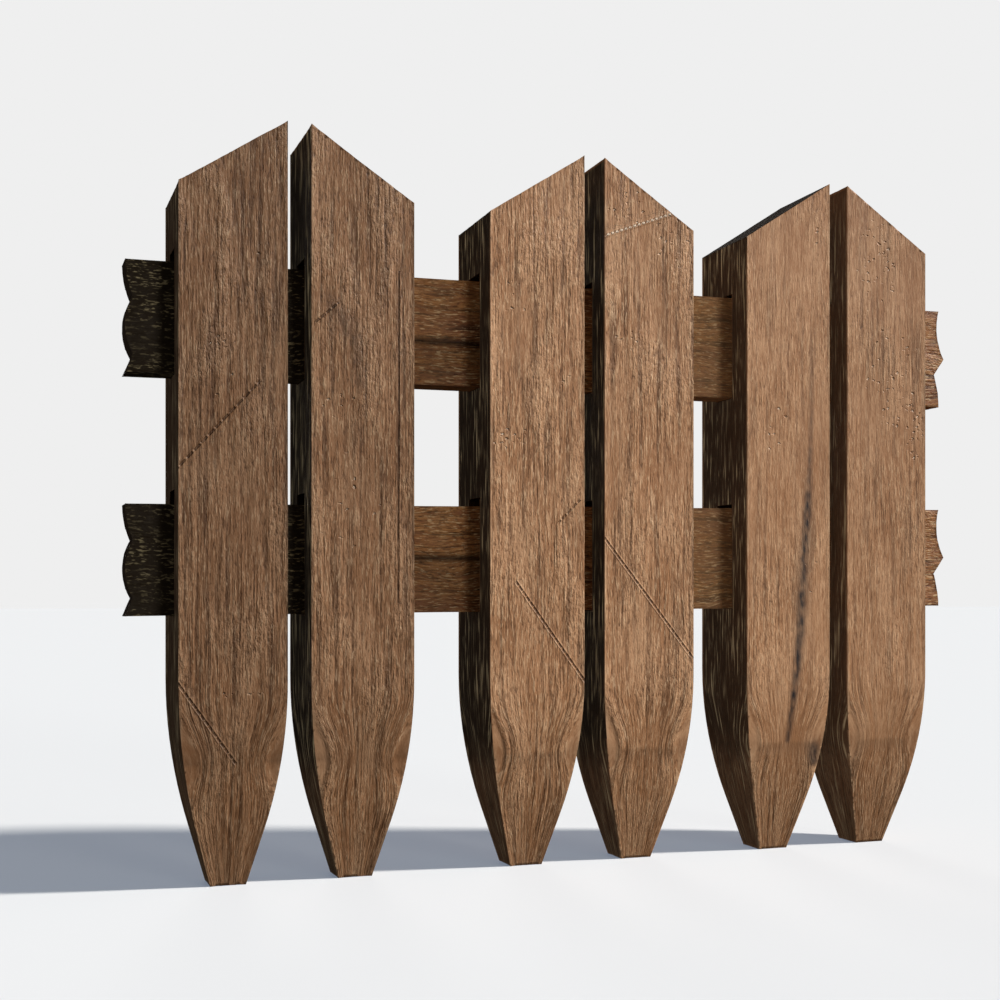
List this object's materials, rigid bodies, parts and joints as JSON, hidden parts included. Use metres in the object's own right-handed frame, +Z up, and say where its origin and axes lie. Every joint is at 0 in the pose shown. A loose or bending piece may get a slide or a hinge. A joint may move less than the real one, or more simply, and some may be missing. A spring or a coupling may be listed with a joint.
{
  "type": "wooden garden fence",
  "caption": "Low wooden garden fence: square pickets in pairs, with slanted tops and carved pointed feet, joined by rails with shaped ends passed through mortises.",
  "frame": {"origin": "centre of the flat foot of the first picket, the left-hand one seen from the front", "axes": "+X along the fence to the right seen from the front, -Y out of the front, +Z up"},
  "size_m": [1.1281, 0.125, 0.893],
  "materials": {
    "picket_timber": "rough sawn and hewn, brown stain, weathered along the grain",
    "rail_timber": "rough sawn plank, brown stain, weathered along the grain"
  },
  "bodies": {
    "root": {"picket_1": "picket_timber", "picket_2": "picket_timber", "picket_3": "picket_timber", "picket_4": "picket_timber", "picket_5": "picket_timber", "picket_6": "picket_timber", "upper_rail": "rail_timber", "lower_rail": "rail_timber"}
  },
  "joints": []
}
